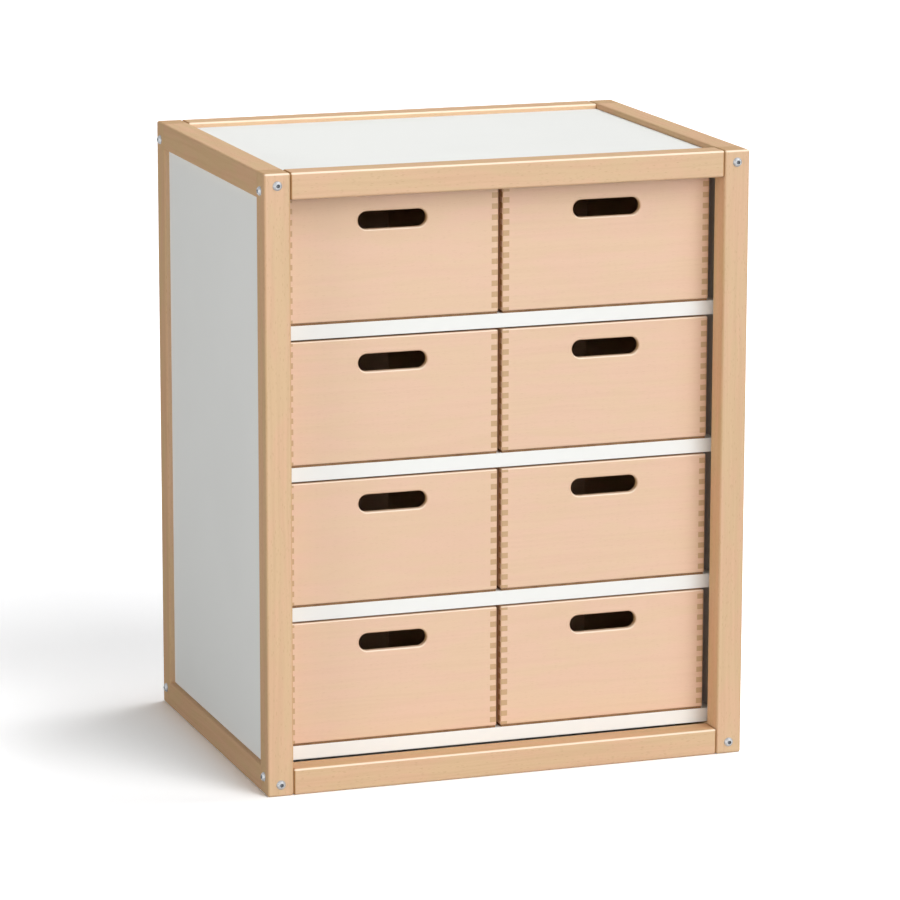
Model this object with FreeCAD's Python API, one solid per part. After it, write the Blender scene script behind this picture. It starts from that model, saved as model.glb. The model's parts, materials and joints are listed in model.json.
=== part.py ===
import FreeCAD, Part
import math
import os

# A low storage unit for an office: a beech frame closed by white boards, with four levels
# of two loose finger jointed boxes that pull out like drawers.
# Sizes are in millimetres. +Z is up, the front faces -Y, and the origin is on the floor
# under the middle of the unit.

# Frame of square beech stock
unit_width = 568.0
unit_depth = 428.0
unit_height = 700.0
stock = 30.0
stock_round = 2.5

# White boards that close the frame, and the shelves between them
board_thickness = 16.0
board_round = 0.6
panel_recess = 6.0
panel_play = 0.2
floor_board_lift = 0.3
top_row_play = 2.3
shelf_setback = 4.0
shelf_back_play = 1.0
shelf_end_play = 0.4

# Loose boxes, one column of them for each name, from the left
column_names = ("left", "right")
rows = 4
box_side_gap = 4.1
box_middle_gap = 4.8
box_headroom = 2.2
box_back_gap = 2.0
box_wall = 8.0
box_round = 1.5
rim_round = 1.0
finger_width = 6.2
least_finger_share = 0.25

# Grip slot in the front of each box
slot_length = 80.0
slot_height = 20.0
slot_drop = 18.0
slot_round = 2.0

# Bottom of each box, a thin hardboard sheet under the walls
bottom_thickness = 2.5
bottom_inset = 1.0

# Button head bolts and the barrel nuts that they screw into
bolt_diameter = 6.0
bolt_length = 55.0
bolt_play = 0.2
bolt_web = 0.4
side_bolt_inset = 13.5
head_diameter = 10.5
head_height = 3.3
head_rim = 0.6
head_flat_diameter = 5.6
socket_across_flats = 4.0
socket_depth = 2.0
hexagon_corners = 6
nut_diameter = 10.0
nut_length = 14.0
nut_play = 0.1
nut_setback = 20.0
nut_slot_width = 1.4
nut_slot_depth = 1.2
thread_play = 0.05

# Wooden dowels that locate the frame and hold the boards
dowel_diameter = 6.0
dowel_length = 30.0
dowel_round = 0.8
dowel_play = 0.1
dowel_web = 2.7
dowel_end_play = 0.5
edge_dowel_inset = 80.0
dowel_stagger = 30.0
floor_dowel_inset = 60.0
floor_dowel_bite = 10.0

# Steel pins that carry the three upper shelves
pin_diameter = 5.0
pin_length = 17.0
pin_bite = 8.5
pin_round = 0.6
pin_play = 0.1
pin_inset = 45.0

# How far a cut runs past the faces that it goes through
overrun = 5.0

# Places worked out from the sizes above
columns = len(column_names)
half_width = unit_width / 2
half_depth = unit_depth / 2
post_x = half_width - stock / 2
post_y = half_depth - stock / 2
inner_x = half_width - stock
inner_y = half_depth - stock
rail_levels = (stock / 2, unit_height - stock / 2)
side_panel_inner_x = half_width - panel_recess - board_thickness
side_panel_middle_x = side_panel_inner_x + board_thickness / 2
back_panel_inner_y = half_depth - panel_recess - board_thickness
back_panel_middle_y = back_panel_inner_y + board_thickness / 2
top_panel_middle_z = unit_height - panel_recess - board_thickness / 2
shelf_front_y = -inner_y + shelf_setback
shelf_back_y = inner_y - shelf_back_play
floor_board_z = stock + floor_board_lift
level_pitch = (unit_height - stock - top_row_play - floor_board_z) / rows
box_height = level_pitch - board_thickness - box_headroom
wall_height = box_height - bottom_thickness
box_width = (2 * inner_x - 2 * box_side_gap - (columns - 1) * box_middle_gap) / columns
box_depth = back_panel_inner_y - shelf_front_y - box_back_gap
cross_bolt_inset = side_bolt_inset + bolt_diameter + 2 * bolt_play + bolt_web
dowel_offset = (bolt_diameter + dowel_diameter) / 2 + bolt_play + dowel_play + dowel_web
staggered_inset = edge_dowel_inset + dowel_stagger
sides = {"left": -1, "right": 1}
faces = {"front": -1, "back": 1}


def vector(x, y, z):
    return FreeCAD.Vector(x, y, z)


# A block between its lowest and its highest corner
def block(low, high):
    length, width, height = (b - a for a, b in zip(low, high))
    return Part.makeBox(length, width, height, vector(*low))


# Rounds the edges that the test picks, by default all of them
def rounded(shape, radius, wanted=lambda edge: True):
    return shape.makeFillet(radius, [edge for edge in shape.Edges if wanted(edge)])


def runs_along_x(edge):
    start, end = (vertex.Point for vertex in edge.Vertexes)
    return abs(end.x - start.x) > abs(end.y - start.y) + abs(end.z - start.z)


# One side of the frame in a single ring: its joints are flush, so it is rounded as a whole
def side_ring(side):
    low_x, high_x = sorted((side * inner_x, side * half_width))
    ring = block((low_x, -half_depth, 0), (high_x, half_depth, unit_height))
    window = block(
        (low_x - overrun, -inner_y, stock),
        (high_x + overrun, inner_y, unit_height - stock),
    )

    def rounded_edge(edge):
        return not runs_along_x(edge) or abs(edge.CenterOfMass.y) > post_y

    return rounded(ring.cut(window), stock_round, rounded_edge)


# The ring is cut into two posts that run the whole height and two rails between them
def side_frame_parts(name, side):
    ring = side_ring(side)
    low_x, high_x = sorted((side * (inner_x - overrun), side * (half_width + overrun)))
    parts = {}
    for face_name, face in faces.items():
        low_y, high_y = sorted((face * inner_y, face * (half_depth + overrun)))
        zone = block((low_x, low_y, -overrun), (high_x, high_y, unit_height + overrun))
        parts[f"{face_name}_{name}_post"] = ring.common(zone)
    for level_name, level in zip(("bottom", "top"), rail_levels):
        zone = block(
            (low_x, -inner_y, level - stock / 2 - overrun),
            (high_x, inner_y, level + stock / 2 + overrun),
        )
        parts[f"{name}_{level_name}_rail"] = ring.common(zone)
    return parts


# A rail between the two side frames, rounded all over, its ends too
def cross_rail(face, level):
    low_y, high_y = sorted((face * inner_y, face * half_depth))
    rail = block((-inner_x, low_y, level - stock / 2), (inner_x, high_y, level + stock / 2))
    return rounded(rail, stock_round)


def cross_rails():
    parts = {}
    for face_name, face in faces.items():
        for level_name, level in zip(("bottom", "top"), rail_levels):
            parts[f"{face_name}_{level_name}_rail"] = cross_rail(face, level)
    return parts


def side_panel(side):
    low_x, high_x = sorted((side * side_panel_inner_x, side * (half_width - panel_recess)))
    panel = block(
        (low_x, -inner_y + panel_play, stock + panel_play),
        (high_x, inner_y - panel_play, unit_height - stock - panel_play),
    )
    return rounded(panel, board_round)


def back_panel():
    panel = block(
        (-inner_x + panel_play, back_panel_inner_y, stock + panel_play),
        (inner_x - panel_play, half_depth - panel_recess, unit_height - stock - panel_play),
    )
    return rounded(panel, board_round)


def top_panel():
    panel = block(
        (-inner_x + panel_play, -inner_y + panel_play, top_panel_middle_z - board_thickness / 2),
        (inner_x - panel_play, inner_y - panel_play, unit_height - panel_recess),
    )
    return rounded(panel, board_round)


# Level 0 is the floor board, and each level above it carries a shelf
def shelf_underside(level):
    return floor_board_z + level * level_pitch


def shelf_board(level):
    half_length = side_panel_inner_x - shelf_end_play
    low_z = shelf_underside(level)
    board = block(
        (-half_length, shelf_front_y, low_z),
        (half_length, shelf_back_y, low_z + board_thickness),
    )
    return rounded(board, board_round)


def shelf_boards():
    parts = {"floor_board": shelf_board(0)}
    for level in range(1, rows):
        parts[f"shelf_{rows - level}"] = shelf_board(level)
    return parts


# Heights where one finger ends and the next begins, from the top down: whole fingers about
# the middle of the wall, and what is left of its height over and under them
def finger_levels():
    whole = max(1, math.floor(wall_height / finger_width - 2 * least_finger_share))
    highest = bottom_thickness + (wall_height + whole * finger_width) / 2
    levels = [highest - step * finger_width for step in range(whole + 1)]
    return [box_height + overrun] + levels + [-overrun]


# The space of one wall board along X, its outer face on Y = 0. From the top down its even
# steps stand out as fingers at the right end, and its odd steps at the left end.
def wall_zone(length):
    levels = finger_levels()
    finger_end = length / 2 + overrun
    notch_end = length / 2 - box_wall
    right_side = []
    left_side = []
    for step, (upper, lower) in enumerate(zip(levels, levels[1:])):
        finger_is_right = step % 2 == 0
        right_x = finger_end if finger_is_right else notch_end
        left_x = -notch_end if finger_is_right else -finger_end
        right_side += [vector(right_x, -overrun, upper), vector(right_x, -overrun, lower)]
        left_side += [vector(left_x, -overrun, upper), vector(left_x, -overrun, lower)]
    outline = right_side + left_side[::-1]
    wire = Part.makePolygon(outline + outline[:1])
    return Part.Face(wire).extrude(vector(0, overrun + box_wall, 0))


# All four walls of a box in one piece, its front on Y = 0 and its middle on X = 0
def box_shell():
    full = block((-box_width / 2, 0, bottom_thickness), (box_width / 2, box_depth, box_height))
    inner_half = box_width / 2 - box_wall
    pocket = block(
        (-inner_half, box_wall, -overrun),
        (inner_half, box_depth - box_wall, box_height + overrun),
    )

    def inner_rim(edge):
        middle = edge.CenterOfMass
        at_top = abs(middle.z - box_height) < rim_round / 2
        inside_x = abs(middle.x) < inner_half + rim_round / 2
        inside_y = box_wall - rim_round / 2 < middle.y < box_depth - box_wall + rim_round / 2
        return at_top and inside_x and inside_y

    return rounded(rounded(full, box_round).cut(pocket), rim_round, inner_rim)


# Turns a wall's space about the middle of the box, so that it becomes another wall's space
def turned_zone(zone, length, degrees):
    centred = zone.copy()
    centred.translate(vector(0, -length / 2, 0))
    centred.rotate(vector(0, 0, 0), vector(0, 0, 1), degrees)
    centred.translate(vector(0, box_depth / 2, 0))
    return centred


# A long round hole through the front, rounded where the fingers go in
def with_grip_slot(front):
    slot_middle_z = box_height - slot_drop - slot_height / 2
    straight_half = (slot_length - slot_height) / 2
    slot = block(
        (-straight_half, -overrun, slot_middle_z - slot_height / 2),
        (straight_half, box_wall + overrun, slot_middle_z + slot_height / 2),
    )
    for end in (-straight_half, straight_half):
        start = vector(end, -overrun, slot_middle_z)
        length = box_wall + 2 * overrun
        slot = slot.fuse(Part.makeCylinder(slot_height / 2, length, start, vector(0, 1, 0)))
    cut = front.cut(slot.removeSplitter())

    def slot_edge(edge):
        box = edge.BoundBox
        inside_x = max(abs(box.XMin), abs(box.XMax)) < slot_length / 2 + slot_round / 2
        inside_z = abs(edge.CenterOfMass.z - slot_middle_z) < slot_height / 2 + slot_round / 2
        return inside_x and inside_z and box.YLength < box_wall / 2

    return rounded(cut, slot_round, slot_edge)


def box_bottom():
    reach_x = box_width / 2 - bottom_inset
    return block(
        (-reach_x, bottom_inset, 0),
        (reach_x, box_depth - bottom_inset, bottom_thickness),
    )


# The four nodes of one box, standing on Z = 0
def box_parts():
    shell = box_shell()
    front_zone = wall_zone(box_width)
    side_zone = wall_zone(box_depth)
    left_side = shell.common(turned_zone(side_zone, box_width, -90))
    right_side = shell.common(turned_zone(side_zone, box_width, 90))
    return {
        "front": with_grip_slot(shell.common(front_zone)),
        "back": shell.common(turned_zone(front_zone, box_depth, 180)),
        "sides": Part.makeCompound([left_side, right_side]),
        "bottom": box_bottom(),
    }


# Where the front of each box is, by name: row 1 is at the top
def box_places():
    places = {}
    for row in range(1, rows + 1):
        low_z = shelf_underside(rows - row) + board_thickness
        for column in range(columns):
            middle = column - (columns - 1) / 2
            x = middle * (box_width + box_middle_gap)
            places[f"drawer_{column_names[column]}_{row}"] = vector(x, shelf_front_y, low_z)
    return places


def all_boxes():
    one_box = box_parts()
    parts = {}
    for box_name, place in box_places().items():
        for piece_name, shape in one_box.items():
            parts[f"{box_name}_{piece_name}"] = shape.translated(place)
    return parts


# Each seat is the point under a bolt head, the way the head faces, and the way in for its nut.
# These bolts run front to back through the posts into the ends of the side rails.
def side_rail_seats():
    seats = []
    for side in sides.values():
        for face in faces.values():
            for z in (side_bolt_inset, unit_height - side_bolt_inset):
                point = vector(side * post_x, face * half_depth, z)
                seats.append((point, vector(0, face, 0), vector(-side, 0, 0)))
    return seats


# These bolts run side to side through the posts into the ends of the cross rails
def cross_rail_seats():
    seats = []
    for side in sides.values():
        for face in faces.values():
            for z in (cross_bolt_inset, unit_height - cross_bolt_inset):
                point = vector(side * half_width, face * post_y, z)
                seats.append((point, vector(side, 0, 0), vector(0, -face, 0)))
    return seats


# A domed bolt head on Z = 0, its dome part of a sphere with its middle on the axis
def bolt_head():
    rim = vector(head_diameter / 2, 0, head_rim)
    flat = vector(head_flat_diameter / 2, 0, head_height)
    middle_z = (flat.Length ** 2 - rim.Length ** 2) / (2 * (flat.z - rim.z))
    middle = vector(0, 0, middle_z)
    crown = (rim - middle + flat - middle).normalize() * (rim - middle).Length + middle
    dome = Part.Arc(rim, crown, flat).toShape()
    below = Part.makePolygon([vector(0, 0, 0), vector(head_diameter / 2, 0, 0), rim])
    above = Part.makePolygon([flat, vector(0, 0, head_height), vector(0, 0, 0)])
    profile = Part.Face(Part.Wire(below.Edges + [dome] + above.Edges))
    return profile.revolve(vector(0, 0, 0), vector(0, 0, 1), 360)


# The hexagon that the key goes into
def bolt_socket():
    corner_radius = socket_across_flats / math.sqrt(3)
    corners = []
    for corner in range(hexagon_corners):
        angle = 2 * math.pi * corner / hexagon_corners
        x, y = corner_radius * math.cos(angle), corner_radius * math.sin(angle)
        corners.append(vector(x, y, head_height - socket_depth))
    hexagon = Part.Face(Part.makePolygon(corners + corners[:1]))
    return hexagon.extrude(vector(0, 0, socket_depth + overrun))


def bolt():
    shank = Part.makeCylinder(bolt_diameter / 2, bolt_length, vector(0, 0, -bolt_length))
    return bolt_head().cut(bolt_socket()).fuse(shank).removeSplitter()


# Moves a shape that stands along Z to a point, with its top facing the way given
def placed(shape, point, direction):
    turn = FreeCAD.Rotation(vector(0, 0, 1), direction)
    moved = shape.copy()
    moved.Placement = FreeCAD.Placement(point, turn)
    return moved


def bolts(seats):
    return Part.makeCompound([placed(bolt(), point, outward) for point, outward, _ in seats])


def rod(radius, start, end):
    return Part.makeCylinder(radius, (end - start).Length, start, end - start)


# A barrel nut lies across its bolt, with the bolt's hole through it and a slot in its end
def barrel_nut(point, outward, way_in):
    centre = point - outward * (stock + nut_setback)
    half = way_in * (nut_length / 2)
    nut = rod(nut_diameter / 2, centre - half, centre + half)
    across = outward * (nut_diameter / 2 + overrun)
    thread = rod(bolt_diameter / 2 + thread_play, centre - across, centre + across)
    side = outward.cross(way_in)
    corner = vector(nut_slot_width / 2, nut_diameter, nut_slot_depth)
    slot = block((-corner.x, -corner.y, -corner.z), (corner.x, corner.y, corner.z))
    turn = FreeCAD.Rotation(side, outward, way_in, "ZYX")
    slot.Placement = FreeCAD.Placement(centre + half, turn)
    return nut.cut(thread).cut(slot)


def barrel_nuts(seats):
    return Part.makeCompound([barrel_nut(*seat) for seat in seats])


# The bolt's hole through post and rail, and the nut's hole in from the hidden face
def bolt_drills(seats):
    drills = []
    for point, outward, way_in in seats:
        tip = point - outward * (bolt_length + nut_diameter / 2)
        drills.append(rod(bolt_diameter / 2 + bolt_play, point + outward * overrun, tip))
        centre = point - outward * (stock + nut_setback)
        nut_end = centre - way_in * (nut_length / 2 + nut_play)
        mouth = centre + way_in * (stock / 2 + overrun)
        drills.append(rod(nut_diameter / 2 + nut_play, nut_end, mouth))
    return drills


# Each frame joint has a dowel beside its bolt, which stops the rail from turning
def frame_dowel_places():
    places = []
    for point, outward, way_in in side_rail_seats() + cross_rail_seats():
        places.append((point - outward * stock - way_in * dowel_offset, outward))
    return places


def side_panel_dowel_places():
    places = []
    for side in sides.values():
        x = side * side_panel_middle_x
        for face in faces.values():
            y = face * inner_y
            low_z = stock + edge_dowel_inset
            for z in (low_z, unit_height / 2, unit_height - low_z):
                places.append((vector(x, y, z), vector(0, face, 0)))
            for z in (stock, unit_height - stock):
                inset_y = face * (inner_y - edge_dowel_inset)
                places.append((vector(x, inset_y, z), vector(0, 0, 1)))
    return places


def top_panel_dowel_places():
    places = []
    z = top_panel_middle_z
    for side in sides.values():
        for face in faces.values():
            inset_x = side * (inner_x - edge_dowel_inset)
            inset_y = face * (inner_y - staggered_inset)
            places.append((vector(inset_x, face * inner_y, z), vector(0, face, 0)))
            places.append((vector(side * inner_x, inset_y, z), vector(side, 0, 0)))
    return places


def back_panel_dowel_places():
    places = []
    y = back_panel_middle_y
    for side in sides.values():
        for z in (stock, unit_height - stock):
            inset_x = side * (inner_x - staggered_inset)
            places.append((vector(inset_x, y, z), vector(0, 0, 1)))
        low_z = stock + staggered_inset
        for z in (low_z, unit_height - low_z):
            places.append((vector(side * inner_x, y, z), vector(side, 0, 0)))
    return places


def floor_board_dowel_places():
    places = []
    z = floor_board_z + board_thickness / 2
    x = side_panel_inner_x + floor_dowel_bite - dowel_length / 2
    for side in sides.values():
        for y in (shelf_front_y + floor_dowel_inset, shelf_back_y - floor_dowel_inset):
            places.append((vector(side * x, y, z), vector(side, 0, 0)))
    return places


def dowel(point, direction):
    half = direction * (dowel_length / 2)
    return rounded(rod(dowel_diameter / 2, point - half, point + half), dowel_round)


def dowels(places):
    return Part.makeCompound([dowel(*place) for place in places])


def dowel_drills(places):
    drills = []
    for point, direction in places:
        half = direction * (dowel_length / 2 + dowel_end_play)
        drills.append(rod(dowel_diameter / 2 + dowel_play, point - half, point + half))
    return drills


# Two pins at each end of a shelf, half in the side panel and half under the shelf
def pin_places():
    places = []
    x = side_panel_inner_x + pin_bite - pin_length / 2
    for level in range(1, rows):
        z = shelf_underside(level) - pin_play - pin_diameter / 2
        for side in sides.values():
            for y in (shelf_front_y + pin_inset, shelf_back_y - pin_inset):
                places.append((vector(side * x, y, z), vector(side, 0, 0)))
    return places


def shelf_pins():
    pins = []
    for point, direction in pin_places():
        half = direction * (pin_length / 2)
        pins.append(rounded(rod(pin_diameter / 2, point - half, point + half), pin_round))
    return Part.makeCompound(pins)


def pin_drills():
    drills = []
    for point, direction in pin_places():
        half = direction * (pin_length / 2 + dowel_end_play)
        drills.append(rod(pin_diameter / 2 + pin_play, point - half, point + half))
    return drills


# Takes from a piece every hole that reaches it
def drilled(piece, drills):
    near = [drill for drill in drills if drill.BoundBox.intersect(piece.BoundBox)]
    return piece.cut(near) if near else piece


def carcass_parts():
    parts = {}
    for name, side in sides.items():
        parts.update(side_frame_parts(name, side))
        parts[f"{name}_side_panel"] = side_panel(side)
    parts.update(cross_rails())
    parts["top_panel"] = top_panel()
    parts["back_panel"] = back_panel()
    parts.update(shelf_boards())
    return parts


def main():
    board_dowels = (
        side_panel_dowel_places()
        + top_panel_dowel_places()
        + back_panel_dowel_places()
        + floor_board_dowel_places()
    )
    seats = side_rail_seats() + cross_rail_seats()
    drills = bolt_drills(seats) + dowel_drills(frame_dowel_places() + board_dowels)
    drills += pin_drills()
    parts = {name: drilled(shape, drills) for name, shape in carcass_parts().items()}
    parts["side_rail_bolts"] = bolts(side_rail_seats())
    parts["cross_rail_bolts"] = bolts(cross_rail_seats())
    parts["barrel_nuts"] = barrel_nuts(seats)
    parts["frame_dowels"] = dowels(frame_dowel_places())
    parts["board_dowels"] = dowels(board_dowels)
    parts["shelf_pins"] = shelf_pins()
    parts.update(all_boxes())
    os.makedirs("parts", exist_ok=True)
    for name, shape in parts.items():
        shape.exportStep(os.path.join("parts", name + ".step"))
    print(f"{len(parts)} parts, box {box_width:.1f} x {box_depth:.1f} x {box_height:.1f}")


main()
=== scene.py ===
import bpy
import json
import math
import random
from mathutils import Matrix, Vector

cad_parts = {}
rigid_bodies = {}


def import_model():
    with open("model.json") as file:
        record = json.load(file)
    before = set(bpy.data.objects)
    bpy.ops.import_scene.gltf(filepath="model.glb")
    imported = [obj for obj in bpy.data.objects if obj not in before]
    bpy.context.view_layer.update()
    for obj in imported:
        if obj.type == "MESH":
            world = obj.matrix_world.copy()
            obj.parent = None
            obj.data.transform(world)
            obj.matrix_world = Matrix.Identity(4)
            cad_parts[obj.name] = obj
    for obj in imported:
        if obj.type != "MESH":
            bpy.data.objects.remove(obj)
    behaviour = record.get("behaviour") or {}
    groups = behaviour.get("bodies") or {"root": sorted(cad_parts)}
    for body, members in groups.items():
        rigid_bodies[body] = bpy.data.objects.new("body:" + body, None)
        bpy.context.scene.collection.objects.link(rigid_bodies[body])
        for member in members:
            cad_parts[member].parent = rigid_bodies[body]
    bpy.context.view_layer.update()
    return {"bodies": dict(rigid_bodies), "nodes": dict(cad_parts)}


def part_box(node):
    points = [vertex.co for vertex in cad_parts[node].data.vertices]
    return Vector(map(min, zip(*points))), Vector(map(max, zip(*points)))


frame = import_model()
nodes = frame["nodes"]
boxBodies = [body for body in frame["bodies"] if body.startswith("drawer_")]
print("frame loaded:", len(nodes), "nodes")

axes = {"x": Vector((1, 0, 0)), "y": Vector((0, 1, 0)), "z": Vector((0, 0, 1))}
mm = 0.001


# A colour as it looks on screen, 0 to 255, turned by the sRGB curve into the linear colour that
# shaders want
def seen(red, green, blue):
    def linear(value):
        share = value / 255
        return share / 12.92 if share <= 0.04045 else ((share + 0.055) / 1.055) ** 2.4

    return (linear(red), linear(green), linear(blue), 1.0)


# Gives a node's input a plain value, or links it where the value is another node's output
def plug(tree, socket, value):
    if isinstance(value, bpy.types.NodeSocket):
        tree.links.new(value, socket)
    else:
        socket.default_value = value


def mathNode(tree, operation, *values):
    node = tree.nodes.new("ShaderNodeMath")
    node.operation = operation
    for socket, value in zip(node.inputs, values):
        plug(tree, socket, value)
    return node.outputs[0]


def vectorNode(tree, operation, *values):
    node = tree.nodes.new("ShaderNodeVectorMath")
    node.operation = operation
    sockets = [node.inputs[0], node.inputs["Scale"]] if operation == "SCALE" else node.inputs
    for socket, value in zip(sockets, values):
        plug(tree, socket, value)
    return node.outputs["Value" if operation in ("DOT_PRODUCT", "LENGTH") else "Vector"]


def noiseNode(tree, vector, scale=1.0, detail=2.0, roughness=0.5):
    node = tree.nodes.new("ShaderNodeTexNoise")
    plug(tree, node.inputs["Vector"], vector)
    node.inputs["Scale"].default_value = scale
    node.inputs["Detail"].default_value = detail
    node.inputs["Roughness"].default_value = roughness
    return node.outputs["Fac"]


# Turns a value between two limits into 0 to 1, softly at both ends. Where the first limit is the
# higher one, the result falls as the value rises.
def stepNode(tree, value, first, last):
    node = tree.nodes.new("ShaderNodeMapRange")
    node.interpolation_type = "SMOOTHSTEP"
    plug(tree, node.inputs["Value"], value)
    plug(tree, node.inputs["From Min"], first)
    plug(tree, node.inputs["From Max"], last)
    return node.outputs["Result"]


def mixNode(tree, factor, first, second):
    node = tree.nodes.new("ShaderNodeMix")
    node.data_type = "RGBA"
    plug(tree, node.inputs["Factor"], factor)
    plug(tree, node.inputs["A"], first)
    plug(tree, node.inputs["B"], second)
    return node.outputs["Result"]


# A vector made smaller by a size, so that one unit of it is that long
def perSize(tree, vector, size):
    return vectorNode(tree, "SCALE", vector, mathNode(tree, "DIVIDE", 1.0, size))


colourKind = "NodeSocketColor"
valueKind = "NodeSocketFloat"
vectorKind = "NodeSocketVector"


# A shared effect with named inputs and outputs. Wherever it is placed, all of its inputs are set.
def newGroup(name, inputs, outputs):
    group = bpy.data.node_groups.new(name, "ShaderNodeTree")
    for way, sockets in (("INPUT", inputs), ("OUTPUT", outputs)):
        for socketName, kind in sockets.items():
            group.interface.new_socket(name=socketName, in_out=way, socket_type=kind)
    entry = group.nodes.new("NodeGroupInput")
    leave = group.nodes.new("NodeGroupOutput")
    return group, entry.outputs, leave.inputs


# Places a group in a tree and sets its inputs, each to a plain value or to another node's output
def placeGroup(tree, group, values):
    node = tree.nodes.new("ShaderNodeGroup")
    node.node_tree = group
    for name, value in values.items():
        plug(tree, node.inputs[name], value)
    return node


# A material with a shader and a bump, ready for a group that gives colour, roughness and height
def newMaterial(name, look):
    material = bpy.data.materials.new(name)
    material.use_nodes = True
    tree = material.node_tree
    shader = tree.nodes["Principled BSDF"]
    shader.inputs["Specular IOR Level"].default_value = look["specular"]
    bump = tree.nodes.new("ShaderNodeBump")
    bump.inputs["Strength"].default_value = look["bumpStrength"]
    bump.inputs["Distance"].default_value = look["bumpDistance"]
    tree.links.new(bump.outputs["Normal"], shader.inputs["Normal"])
    return material, tree, shader, bump


# Places a group that gives colour, roughness and height, and links it to the shader and the bump
def dressShader(tree, group, shader, bump, values):
    node = placeGroup(tree, group, values)
    tree.links.new(node.outputs["Colour"], shader.inputs["Base Color"])
    tree.links.new(node.outputs["Roughness"], shader.inputs["Roughness"])
    tree.links.new(node.outputs["Height"], bump.inputs["Height"])
    return node


def finish(node, material):
    mesh = nodes[node].data
    mesh.materials.clear()
    mesh.materials.append(material)


# Limits of soft steps on the way that a surface faces
edgeHighlightAndShineFigure = {
    "paintedHighlightLimits": (0.08, 0.4),
    "sideLimits": (0.45, 0.08),
    "topLimits": (0.8, 0.98),
}


# Two masks from 0 to 1. Painted Highlight: the rounded upper edges along the front and back, which
# get a lighter colour painted on as a highlight from light above and in front. Lacquered: where the
# lacquer shines, which is least on flat tops and on the sides.
def edgeHighlightAndShineGroup():
    figure = edgeHighlightAndShineFigure
    group, given, made = newGroup(
        "painted edge highlight and shine",
        {"Normal": vectorKind, "Top Share": valueKind},
        {"Painted Highlight": valueKind, "Lacquered": valueKind},
    )
    parts = group.nodes.new("ShaderNodeSeparateXYZ")
    plug(group, parts.inputs[0], given["Normal"])
    towardsFront = mathNode(group, "ABSOLUTE", parts.outputs["Y"])
    towardsSide = mathNode(group, "ABSOLUTE", parts.outputs["X"])
    slant = mathNode(group, "MULTIPLY", towardsFront, parts.outputs["Z"])
    plug(group, made["Painted Highlight"], stepNode(group, slant, *figure["paintedHighlightLimits"]))
    offSides = stepNode(group, towardsSide, *figure["sideLimits"])
    flatTop = stepNode(group, parts.outputs["Z"], *figure["topLimits"])
    topLoss = mathNode(group, "SUBTRACT", given["Top Share"], 1.0)
    shine = mathNode(group, "MULTIPLY_ADD", flatTop, topLoss, 1.0)
    plug(group, made["Lacquered"], mathNode(group, "MULTIPLY", offSides, shine))
    return group


edgeHighlightAndShinePlaces = edgeHighlightAndShineGroup()


# The figure in beech: sizes in metres, limits of soft steps, and shares
beechFigure = {
    "ringSpacing": 2.4 * mm,
    "ringWander": 10 * mm,
    "wanderAlong": 160 * mm,
    "wanderAcross": 35 * mm,
    "ringChange": 6.0,  # how fast the rings change along the grain
    "ringScale": 0.8,
    "ringLimits": (0.38, 0.7),
    "cloudAlong": 70 * mm,
    "cloudAcross": 16 * mm,
    "cloudLimits": (0.36, 0.64),
    "fleckLength": 7 * mm,
    "fleckWidth": 1.7 * mm,
    "fleckLimits": (0.36, 0.16),  # how far a fleck reaches from the middle of its cell
    "keptLimits": (0.35, 0.75),  # which cells have one
    "fleckDepth": -0.5,
    "fibreLength": 9 * mm,
    "fibreWidth": 0.5 * mm,
    "fibreLimits": (0.5, 0.75),
    "fibreShare": 0.12,
    "endRingShare": 0.35,
    "endSoftness": 0.32,
    "fibreRoughness": 0.16,
    "fleckRoughness": 0.05,
    "endRoughness": 0.15,
    "seedShift": (3.1, 5.7, 7.3),
}


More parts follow.
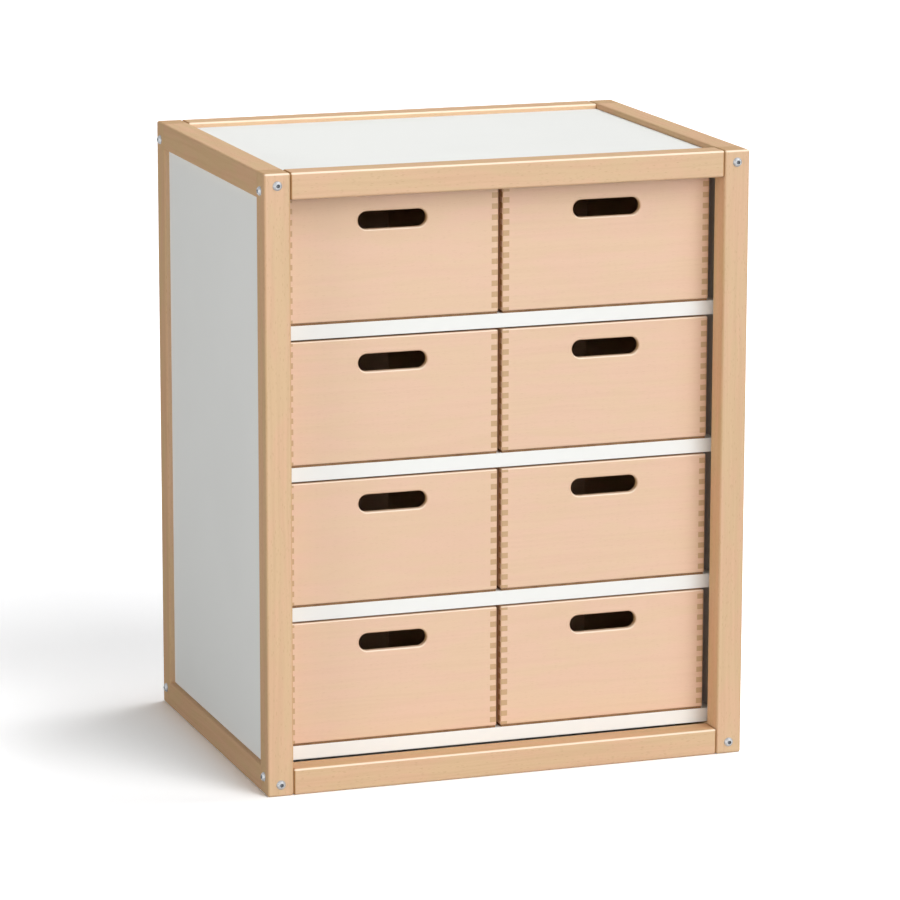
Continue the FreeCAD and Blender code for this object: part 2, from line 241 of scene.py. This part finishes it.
# Beech as a solid: rings round the heart of the tree, flecks and fibres along the grain,
# and end grain wherever a face is cut across it
def beechGroup():
    figure = beechFigure
    group, given, made = newGroup(
        "beech figure",
        {
            "Grain Axis": vectorKind,
            "Heart": vectorKind,
            "Seed": valueKind,
            "Wood Colour": colourKind,
            "Second Colour": colourKind,
            "Ring Colour": colourKind,
            "End Colour": colourKind,
            "Painted Highlight Colour": colourKind,
            "Cloud Amount": valueKind,
            "Ring Amount": valueKind,
            "Fleck Amount": valueKind,
            "Painted Highlight Tone": valueKind,
            "End Reach": valueKind,
            "Base Roughness": valueKind,
            "Lacquer Shine": valueKind,
            "Top Shine": valueKind,
        },
        {"Colour": colourKind, "Roughness": valueKind, "Height": valueKind, "Shine": valueKind},
    )
    place = group.nodes.new("ShaderNodeTexCoord")
    axis = given["Grain Axis"]
    along = vectorNode(group, "DOT_PRODUCT", place.outputs["Object"], axis)
    alongVector = vectorNode(group, "SCALE", axis, along)
    across = vectorNode(group, "SUBTRACT", place.outputs["Object"], alongVector)
    shift = vectorNode(group, "SCALE", figure["seedShift"], given["Seed"])

    # Coordinates in which one unit is a given length along the grain and a given width across it
    def stretched(length, width):
        slow = vectorNode(group, "SCALE", alongVector, 1 / length)
        fast = vectorNode(group, "SCALE", across, 1 / width)
        return vectorNode(group, "ADD", vectorNode(group, "ADD", slow, fast), shift)

    # Rings, by the distance from the heart, which wanders along the grain
    wanderPlace = stretched(figure["wanderAlong"], figure["wanderAcross"])
    wander = noiseNode(group, wanderPlace, detail=1.5)
    fromHeart = vectorNode(group, "SUBTRACT", across, given["Heart"])
    heartAlong = vectorNode(group, "DOT_PRODUCT", fromHeart, axis)
    heartVector = vectorNode(group, "SCALE", axis, heartAlong)
    radius = vectorNode(group, "LENGTH", vectorNode(group, "SUBTRACT", fromHeart, heartVector))
    wandered = mathNode(group, "MULTIPLY_ADD", wander, figure["ringWander"], radius)
    ringPlace = group.nodes.new("ShaderNodeCombineXYZ")
    plug(group, ringPlace.inputs["X"], mathNode(group, "DIVIDE", wandered, figure["ringSpacing"]))
    plug(group, ringPlace.inputs["Y"], mathNode(group, "MULTIPLY", along, figure["ringChange"]))
    plug(group, ringPlace.inputs["Z"], given["Seed"])
    ringNoise = noiseNode(group, ringPlace.outputs[0], figure["ringScale"], detail=2.5)
    rings = stepNode(group, ringNoise, *figure["ringLimits"])

    # Clouds of a second tone
    cloudPlace = stretched(figure["cloudAlong"], figure["cloudAcross"])
    clouds = stepNode(group, noiseNode(group, cloudPlace), *figure["cloudLimits"])

    # Flecks, one in the middle of some of the cells of a pattern
    fleckCells = group.nodes.new("ShaderNodeTexVoronoi")
    plug(group, fleckCells.inputs["Vector"], stretched(figure["fleckLength"], figure["fleckWidth"]))
    fleckCells.inputs["Scale"].default_value = 1.0
    cellTone = group.nodes.new("ShaderNodeSeparateColor")
    plug(group, cellTone.inputs["Color"], fleckCells.outputs["Color"])
    fleckSpot = stepNode(group, fleckCells.outputs["Distance"], *figure["fleckLimits"])
    fleckKept = stepNode(group, cellTone.outputs["Red"], *figure["keptLimits"])
    flecks = mathNode(group, "MULTIPLY", fleckSpot, fleckKept)

    fibrePlace = stretched(figure["fibreLength"], figure["fibreWidth"])
    fibres = noiseNode(group, fibrePlace, roughness=0.6)
    fibreLines = stepNode(group, fibres, *figure["fibreLimits"])

    # End grain, where a face looks along the grain
    alignment = vectorNode(group, "DOT_PRODUCT", place.outputs["Normal"], axis)
    facing = mathNode(group, "ABSOLUTE", alignment)
    endFull = mathNode(group, "ADD", given["End Reach"], figure["endSoftness"])
    endGrain = stepNode(group, facing, given["End Reach"], endFull)

    cloudFactor = mathNode(group, "MULTIPLY", clouds, given["Cloud Amount"])
    wood = mixNode(group, cloudFactor, given["Wood Colour"], given["Second Colour"])
    for mask, amount in (
        (rings, given["Ring Amount"]),
        (fibreLines, figure["fibreShare"]),
        (flecks, given["Fleck Amount"]),
    ):
        wood = mixNode(group, mathNode(group, "MULTIPLY", mask, amount), wood, given["Ring Colour"])
    endFactor = mathNode(group, "MULTIPLY", rings, figure["endRingShare"])
    endTone = mixNode(group, endFactor, given["End Colour"], given["Ring Colour"])
    wood = mixNode(group, endGrain, wood, endTone)
    highlightAndShine = placeGroup(group, edgeHighlightAndShinePlaces, {
        "Normal": place.outputs["Normal"],
        "Top Share": given["Top Shine"],
    })
    # Painted highlight: the rounded upper front and back edges are mixed towards a lighter colour
    paintedHighlightFactor = mathNode(group, "MULTIPLY", highlightAndShine.outputs["Painted Highlight"], given["Painted Highlight Tone"])
    plug(group, made["Colour"], mixNode(group, paintedHighlightFactor, wood, given["Painted Highlight Colour"]))
    shine = mathNode(group, "MULTIPLY", highlightAndShine.outputs["Lacquered"], given["Lacquer Shine"])
    plug(group, made["Shine"], shine)

    rough = given["Base Roughness"]
    for mask, amount in (
        (fibres, figure["fibreRoughness"]),
        (flecks, figure["fleckRoughness"]),
        (endGrain, figure["endRoughness"]),
    ):
        rough = mathNode(group, "MULTIPLY_ADD", mask, amount, rough)
    # Fibres lie about 0.5, so half of their share goes off again
    rough = mathNode(group, "SUBTRACT", rough, figure["fibreRoughness"] / 2)
    plug(group, made["Roughness"], rough)
    height = mathNode(group, "MULTIPLY_ADD", flecks, figure["fleckDepth"], fibres)
    plug(group, made["Height"], height)
    return group


beechFigureGroup = beechGroup()


# One board or bar of beech. The heart of its tree lies to one side of it, along the grain.
def beechMaterial(name, grain, wood):
    low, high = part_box(name)
    draw = random.Random(name)
    angle = draw.uniform(0, 2 * math.pi)
    across = [axis for key, axis in axes.items() if key != grain]
    reach = draw.uniform(wood["heartNear"], wood["heartFar"])
    heart = (low + high) / 2 + reach * (
        math.cos(angle) * across[0] + math.sin(angle) * across[1]
    )
    material, tree, shader, bump = newMaterial(name, wood)
    shader.inputs["Coat Roughness"].default_value = wood["coatRoughness"]
    shader.inputs["Coat IOR"].default_value = wood["coatIndex"]
    group = dressShader(tree, beechFigureGroup, shader, bump, {
        "Grain Axis": axes[grain],
        "Heart": heart,
        "Seed": draw.uniform(0, 10),
        "Wood Colour": seen(*wood["colour"]),
        "Second Colour": seen(*wood["secondColour"]),
        "Ring Colour": seen(*wood["ringColour"]),
        "End Colour": seen(*wood["endColour"]),
        "Painted Highlight Colour": seen(*wood["paintedHighlightColour"]),
        "Cloud Amount": wood["clouds"],
        "Ring Amount": wood["rings"],
        "Fleck Amount": wood["flecks"],
        "Painted Highlight Tone": wood["paintedHighlightTone"],
        "End Reach": wood["endReach"],
        "Base Roughness": wood["roughness"],
        "Lacquer Shine": wood["shine"],
        "Top Shine": wood["topShine"],
    })
    tree.links.new(group.outputs["Shine"], shader.inputs["Coat Weight"])
    return material


# The satin lacquer. Its rounded upper front and back edges get a painted highlight, a lighter
# colour mixed in as far as the tone says
satinLacquer = {
    "specular": 0.0,
    "roughness": 0.6,
    "paintedHighlightTone": 0.7,
    "shine": 0.95,
    "topShine": 0.12,
    "coatRoughness": 0.42,
    "coatIndex": 1.66,
}

frameWood = dict(
    satinLacquer,
    colour=(216, 182, 141),
    secondColour=(220, 179, 143),
    ringColour=(184, 142, 99),
    endColour=(206, 168, 126),
    endReach=0.6,
    # the lighter colour of the painted highlight on the upper front and back edges
    paintedHighlightColour=(252, 232, 206),
    clouds=0.9,
    rings=0.16,
    flecks=0.34,
    heartNear=50 * mm,
    heartFar=120 * mm,
    bumpStrength=0.25,
    bumpDistance=0.1 * mm,
)

# The cross rails' rounded ends lie in the V of a joint. Their end grain gets a darker colour that
# reaches further round the rounding, as painted shade in the V
railWoodWithShadedEnds = dict(frameWood, endColour=(176, 132, 88), endReach=0.15)


# The frame: posts stand, side rails run front to back and cross rails side to side
def finishFrame():
    for side in ("left", "right"):
        for face in ("front", "back"):
            name = f"{face}_{side}_post"
            finish(name, beechMaterial(name, "z", frameWood))
        for level in ("top", "bottom"):
            name = f"{side}_{level}_rail"
            finish(name, beechMaterial(name, "y", frameWood))
    for face in ("front", "back"):
        for level in ("top", "bottom"):
            name = f"{face}_{level}_rail"
            finish(name, beechMaterial(name, "x", railWoodWithShadedEnds))
    print("frame finished")


boxWood = dict(
    satinLacquer,
    colour=(229, 195, 163),
    secondColour=(231, 193, 166),
    ringColour=(200, 159, 119),
    endColour=(198, 160, 118),
    endReach=0.6,
    # the lighter colour of the painted highlight on the upper front and back edges
    paintedHighlightColour=(252, 234, 212),
    clouds=0.9,
    rings=0.08,
    flecks=0.14,
    heartNear=70 * mm,
    heartFar=160 * mm,
    bumpStrength=0.18,
    bumpDistance=0.08 * mm,
)


# The walls of the boxes: fronts and backs have their grain along X, sides along Y
def finishBoxes():
    for box in boxBodies:
        for piece, grain in (("front", "x"), ("back", "x"), ("sides", "y")):
            name = f"{box}_{piece}"
            finish(name, beechMaterial(name, grain, boxWood))
    print("boxes finished")


# Dowels are raw wood, with no lacquer, no painted edge highlight and more figure
dowelWood = dict(
    frameWood, clouds=0.5, rings=0.4, flecks=0.6, roughness=0.68, paintedHighlightTone=0.0, shine=0.0
)


def finishDowels():
    for name in ("frame_dowels", "board_dowels"):
        finish(name, beechMaterial(name, "y", dowelWood))
    print("dowels finished")


hardboardLook = {
    "faceColour": (232, 202, 172),
    "colour": (150, 116, 84),
    "fibreColour": (112, 80, 52),
    "fibre": 0.9 * mm,
    "mottle": 14 * mm,
    "mottleShare": 0.4,  # how much of the patches goes into the hairs
    "hairLimits": (0.6, 0.85),
    "faceHairShare": 0.12,
    "faceLimits": (0.6, 0.9),
    "roughness": 0.6,
    "hairRoughness": 0.12,
    "specular": 0.25,
    "bumpStrength": 0.3,
    "bumpDistance": 0.05 * mm,
}


# Pressed wood fibre: short dark hairs in a brown ground, in patches, under a pale upper face
def hardboardGroup():
    look = hardboardLook
    group, given, made = newGroup(
        "hardboard fibre",
        {
            "Face Colour": colourKind,
            "Ground Colour": colourKind,
            "Fibre Colour": colourKind,
            "Fibre Size": valueKind,
            "Mottle Size": valueKind,
            "Base Roughness": valueKind,
        },
        {"Colour": colourKind, "Roughness": valueKind, "Height": valueKind},
    )
    place = group.nodes.new("ShaderNodeTexCoord")
    fibrePlace = perSize(group, place.outputs["Object"], given["Fibre Size"])
    mottlePlace = perSize(group, place.outputs["Object"], given["Mottle Size"])
    fibres = noiseNode(group, fibrePlace, detail=4.0, roughness=0.65)
    mottle = noiseNode(group, mottlePlace)
    patchy = mathNode(group, "MULTIPLY_ADD", mottle, look["mottleShare"], fibres)
    hairs = stepNode(group, patchy, *look["hairLimits"])
    bare = mixNode(group, hairs, given["Ground Colour"], given["Fibre Colour"])
    faceHairs = mathNode(group, "MULTIPLY", hairs, look["faceHairShare"])
    faced = mixNode(group, faceHairs, given["Face Colour"], given["Ground Colour"])
    upward = vectorNode(group, "DOT_PRODUCT", place.outputs["Normal"], axes["z"])
    onFace = stepNode(group, upward, *look["faceLimits"])
    plug(group, made["Colour"], mixNode(group, onFace, bare, faced))
    rough = mathNode(group, "MULTIPLY_ADD", hairs, look["hairRoughness"], given["Base Roughness"])
    plug(group, made["Roughness"], rough)
    plug(group, made["Height"], fibres)
    return group


# The thin bottoms under the boxes' walls
def finishBottoms():
    look = hardboardLook
    material, tree, shader, bump = newMaterial("hardboard", look)
    dressShader(tree, hardboardGroup(), shader, bump, {
        "Face Colour": seen(*look["faceColour"]),
        "Ground Colour": seen(*look["colour"]),
        "Fibre Colour": seen(*look["fibreColour"]),
        "Fibre Size": look["fibre"],
        "Mottle Size": look["mottle"],
        "Base Roughness": look["roughness"],
    })
    for box in boxBodies:
        finish(f"{box}_bottom", material)
    print("bottoms finished")


boardLook = {
    "colour": (245, 246, 243),
    "shade": (243, 244, 241),
    "pebble": 0.5 * mm,
    "cloud": 260 * mm,
    "cloudLimits": (0.4, 0.65),
    "roughness": 0.45,
    "cloudRoughness": 0.12,
    "specular": 0.0,
    "shine": 0.9,
    "topShine": 0.1,
    "coatRoughness": 0.4,
    "bumpStrength": 0.12,
    "bumpDistance": 0.02 * mm,
}


# The pressed skin of the white boards: a fine pebble and a hardly visible cloudiness
def boardGroup():
    look = boardLook
    group, given, made = newGroup(
        "white board skin",
        {
            "Skin Colour": colourKind,
            "Shade Colour": colourKind,
            "Pebble Size": valueKind,
            "Cloud Size": valueKind,
            "Base Roughness": valueKind,
            "Skin Shine": valueKind,
            "Top Shine": valueKind,
        },
        {"Colour": colourKind, "Roughness": valueKind, "Height": valueKind, "Shine": valueKind},
    )
    place = group.nodes.new("ShaderNodeTexCoord")
    highlightAndShine = placeGroup(group, edgeHighlightAndShinePlaces, {
        "Normal": place.outputs["Normal"],
        "Top Share": given["Top Shine"],
    })
    shine = mathNode(group, "MULTIPLY", highlightAndShine.outputs["Lacquered"], given["Skin Shine"])
    plug(group, made["Shine"], shine)
    pebblePlace = perSize(group, place.outputs["Object"], given["Pebble Size"])
    cloudPlace = perSize(group, place.outputs["Object"], given["Cloud Size"])
    pebble = noiseNode(group, pebblePlace, detail=1.0)
    cloud = noiseNode(group, cloudPlace, detail=3.0)
    tone = stepNode(group, cloud, *look["cloudLimits"])
    plug(group, made["Colour"], mixNode(group, tone, given["Skin Colour"], given["Shade Colour"]))
    rough = mathNode(group, "MULTIPLY_ADD", cloud, look["cloudRoughness"], given["Base Roughness"])
    # The cloud lies about 0.5, so half of its share goes off again
    rough = mathNode(group, "SUBTRACT", rough, look["cloudRoughness"] / 2)
    plug(group, made["Roughness"], rough)
    plug(group, made["Height"], pebble)
    return group


# Top, sides, back, floor board and shelves
def finishBoards():
    look = boardLook
    material, tree, shader, bump = newMaterial("white_board", look)
    shader.inputs["Coat Roughness"].default_value = look["coatRoughness"]
    group = dressShader(tree, boardGroup(), shader, bump, {
        "Skin Colour": seen(*look["colour"]),
        "Shade Colour": seen(*look["shade"]),
        "Pebble Size": look["pebble"],
        "Cloud Size": look["cloud"],
        "Base Roughness": look["roughness"],
        "Skin Shine": look["shine"],
        "Top Shine": look["topShine"],
    })
    tree.links.new(group.outputs["Shine"], shader.inputs["Coat Weight"])
    for name in nodes:
        shelf = name.startswith("shelf_") and name != "shelf_pins"
        if shelf or name.endswith("_panel") or name == "floor_board":
            finish(name, material)
    print("boards finished")


steelLook = {
    "colour": (176, 179, 182),
    "dull": (162, 165, 168),
    "grain": 1.2 * mm,
    "grainLimits": (0.4, 0.65),
    "roughness": 0.58,
    "grainRoughness": 0.12,
    "specular": 0.5,
    "bumpStrength": 0.15,
    "bumpDistance": 0.02 * mm,
}


# Zinc plated steel: a fine crystal mottle in tone and gloss
def steelGroup():
    look = steelLook
    group, given, made = newGroup(
        "zinc mottle",
        {
            "Bright Colour": colourKind,
            "Dull Colour": colourKind,
            "Grain Size": valueKind,
            "Base Roughness": valueKind,
        },
        {"Colour": colourKind, "Roughness": valueKind, "Height": valueKind},
    )
    place = group.nodes.new("ShaderNodeTexCoord").outputs["Object"]
    grains = noiseNode(group, perSize(group, place, given["Grain Size"]), detail=3.0)
    tone = stepNode(group, grains, *look["grainLimits"])
    plug(group, made["Colour"], mixNode(group, tone, given["Bright Colour"], given["Dull Colour"]))
    rough = mathNode(group, "MULTIPLY_ADD", tone, look["grainRoughness"], given["Base Roughness"])
    plug(group, made["Roughness"], rough)
    plug(group, made["Height"], grains)
    return group


zincGroup = steelGroup()


def steelMaterial(name):
    look = steelLook
    material, tree, shader, bump = newMaterial(name, look)
    shader.inputs["Metallic"].default_value = 1.0
    group = dressShader(tree, zincGroup, shader, bump, {
        "Bright Colour": seen(*look["colour"]),
        "Dull Colour": seen(*look["dull"]),
        "Grain Size": look["grain"],
        "Base Roughness": look["roughness"],
    })
    return material, tree, shader, group


# Painted shade in the bolts' sockets: this grey, fading in between the two radii
boltSocketShade = {
    "headRadius": 5.25 * mm,
    "edgeRadius": 2.35 * mm,
    "coreRadius": 1.95 * mm,
    "colour": (112, 115, 120),
}


# How deep a place lies inside a bolt's socket, 0 to 1, as the mask of the painted shade there.
# Bolts stand in fours, so their axes mirror about a middle and lie a reach away from it, measured
# square to the bolts.
def socketShadeGroup():
    group, given, made = newGroup(
        "bolt socket painted shade",
        {
            "Middle": vectorKind,
            "Axes Reach": vectorKind,
            "Bolt Axis": vectorKind,
            "Edge Radius": valueKind,
            "Core Radius": valueKind,
        },
        {"Painted Shade": valueKind},
    )
    place = group.nodes.new("ShaderNodeTexCoord").outputs["Object"]
    fromMiddle = vectorNode(group, "SUBTRACT", place, given["Middle"])
    mirrored = vectorNode(group, "ABSOLUTE", fromMiddle)
    off = vectorNode(group, "SUBTRACT", mirrored, given["Axes Reach"])
    along = vectorNode(group, "PROJECT", off, given["Bolt Axis"])
    radius = vectorNode(group, "LENGTH", vectorNode(group, "SUBTRACT", off, along))
    plug(group, made["Painted Shade"], stepNode(group, radius, given["Edge Radius"], given["Core Radius"]))
    return group


# Bolts, barrel nuts and shelf pins
def finishSteel():
    plain = steelMaterial("zinc_steel")[0]
    for name in ("barrel_nuts", "shelf_pins"):
        finish(name, plain)
    sockets = boltSocketShade
    paintedSocketShade = socketShadeGroup()
    headRadius = Vector((1, 1, 1)) * sockets["headRadius"]
    for name, along in (("side_rail_bolts", "y"), ("cross_rail_bolts", "x")):
        low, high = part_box(name)
        material, tree, shader, group = steelMaterial(name)
        socket = placeGroup(tree, paintedSocketShade, {
            "Middle": (low + high) / 2,
            "Axes Reach": (high - low) / 2 - headRadius,  # the heads' rims bound the box
            "Bolt Axis": axes[along],
            "Edge Radius": sockets["edgeRadius"],
            "Core Radius": sockets["coreRadius"],
        })
        # The sockets get the grey of the painted shade
        socketShade = socket.outputs["Painted Shade"]
        colour = mixNode(tree, socketShade, group.outputs["Colour"], seen(*sockets["colour"]))
        tree.links.new(colour, shader.inputs["Base Color"])
        finish(name, material)
    print("steel finished")


cameraPlace = {
    "azimuth": -19.27,  # degrees, to the left of the front
    "elevation": 12.32,
    "roll": -0.11,
    "distance": 5.279,
    "aim": (0.0023, -0.0049, 0.3324),
    "lens": 182.3,
    "sensor": 36.0,
}


# A direction from the object outwards. Azimuth 0 is the front and 90 the right, in degrees.
def outward(azimuth, elevation):
    turn, rise = math.radians(azimuth), math.radians(elevation)
    return Vector((
        math.sin(turn) * math.cos(rise),
        -math.cos(turn) * math.cos(rise),
        math.sin(rise),
    ))


def makeCamera():
    place = cameraPlace
    back = outward(place["azimuth"], place["elevation"])
    camera = bpy.data.objects.new("camera", bpy.data.cameras.new("camera"))
    bpy.context.scene.collection.objects.link(camera)
    turn = (-back).to_track_quat("-Z", "Y").to_matrix().to_4x4()
    roll = Matrix.Rotation(-math.radians(place["roll"]), 4, "Z")
    spot = Vector(place["aim"]) + back * place["distance"]
    camera.matrix_world = Matrix.Translation(spot) @ turn @ roll
    camera.data.lens = place["lens"]
    camera.data.sensor_width = place["sensor"]
    bpy.context.scene.camera = camera
    print("camera placed")


floorLook = {
    "radius": 30.0,
    "corners": 96,
    "litShare": 0.38,  # of the light that falls on the floor, how much reaches the object again
    "seenShare": (1.41, 1.41, 1.42),  # and how much of it the floor shows as a background
    "roughness": 0.9,
}


# The rays that show the background: those of the camera, and those that gloss and glass send on
def backgroundRays(tree):
    lightPath = tree.nodes.new("ShaderNodeLightPath")
    rays = lightPath.outputs["Is Camera Ray"]
    for kind in ("Is Glossy Ray", "Is Transmission Ray"):
        rays = mathNode(tree, "MAXIMUM", rays, lightPath.outputs[kind])
    return rays


def makeFloor():
    look = floorLook
    mesh = bpy.data.meshes.new("floor")
    turns = [2 * math.pi * corner / look["corners"] for corner in range(look["corners"])]
    rim = [(look["radius"] * math.cos(turn), look["radius"] * math.sin(turn), 0) for turn in turns]
    mesh.from_pydata(rim, [], [list(range(look["corners"]))])
    floor = bpy.data.objects.new("floor", mesh)
    bpy.context.scene.collection.objects.link(floor)
    material = bpy.data.materials.new("floor")
    material.use_nodes = True
    tree = material.node_tree
    shader = tree.nodes["Principled BSDF"]
    shader.inputs["Roughness"].default_value = look["roughness"]
    shader.inputs["Specular IOR Level"].default_value = 0.0
    lit = (look["litShare"],) * 3 + (1,)
    shown = look["seenShare"] + (1,)
    tree.links.new(mixNode(tree, backgroundRays(tree), lit, shown), shader.inputs["Base Color"])
    mesh.materials.append(material)
    print("floor laid")


skyLook = {
    "litStrength": 0.135,
    "seenStrength": 1.0,
}


# A soft sky lights the object, and what the camera and gloss see of it is plain white
def makeSky():
    world = bpy.data.worlds.new("sky")
    bpy.context.scene.world = world
    world.use_nodes = True
    tree = world.node_tree
    background = tree.nodes["Background"]
    background.inputs["Color"].default_value = (1, 1, 1, 1)
    strength = tree.nodes.new("ShaderNodeMapRange")
    tree.links.new(backgroundRays(tree), strength.inputs["Value"])
    strength.inputs["To Min"].default_value = skyLook["litStrength"]
    strength.inputs["To Max"].default_value = skyLook["seenStrength"]
    tree.links.new(strength.outputs["Result"], background.inputs["Strength"])
    print("sky made")


# Large soft lamps far away, each in its own direction. A strength of 1 lights a white face that
# is square to the lamp to plain white. Angles are in degrees.
farLamps = {
    "key": {"azimuth": 104, "elevation": 62, "strength": 0.33, "spread": 26},
    "high front": {"azimuth": 34, "elevation": 44, "strength": 0.39, "spread": 36},
    "low front": {"azimuth": 18, "elevation": 16, "strength": 0.445, "spread": 44},
    "left": {"azimuth": -72, "elevation": 3, "strength": 0.34, "spread": 24},
    "fill": {"azimuth": -17, "elevation": 13, "strength": 0.04, "spread": 8},
    "back": {"azimuth": 150, "elevation": 15, "strength": 0.23, "spread": 50},
}

# A soft disc close to the left side, whose light fades towards the back and the floor
leftDisc = {
    "spot": (-1.35, -0.45, 0.48),
    "aim": (-0.284, -0.1, 0.38),
    "width": 0.9,
    "watts": 1.75,
}


# A lamp shines along its own -Z, so its Z turns towards where the light comes from
def hangLamp(name, lamp, towards):
    holder = bpy.data.objects.new(name, lamp)
    bpy.context.scene.collection.objects.link(holder)
    holder.rotation_mode = "QUATERNION"
    holder.rotation_quaternion = towards.to_track_quat("Z", "Y")
    return holder


def makeLamps():
    for name, plan in farLamps.items():
        lamp = bpy.data.lights.new(name, "SUN")
        lamp.energy = math.pi * plan["strength"]
        lamp.angle = math.radians(plan["spread"])
        hangLamp(name, lamp, outward(plan["azimuth"], plan["elevation"]))
    disc = bpy.data.lights.new("left disc", "AREA")
    disc.shape = "DISK"
    disc.size = leftDisc["width"]
    disc.energy = leftDisc["watts"]
    spot = Vector(leftDisc["spot"])
    hangLamp("left disc", disc, spot - Vector(leftDisc["aim"])).location = spot
    print("lamps hung")


finishFrame()
finishBoxes()
finishBottoms()
finishBoards()
finishSteel()
finishDowels()
makeCamera()
makeFloor()
makeSky()
makeLamps()
bpy.context.scene.view_settings.view_transform = "Standard"
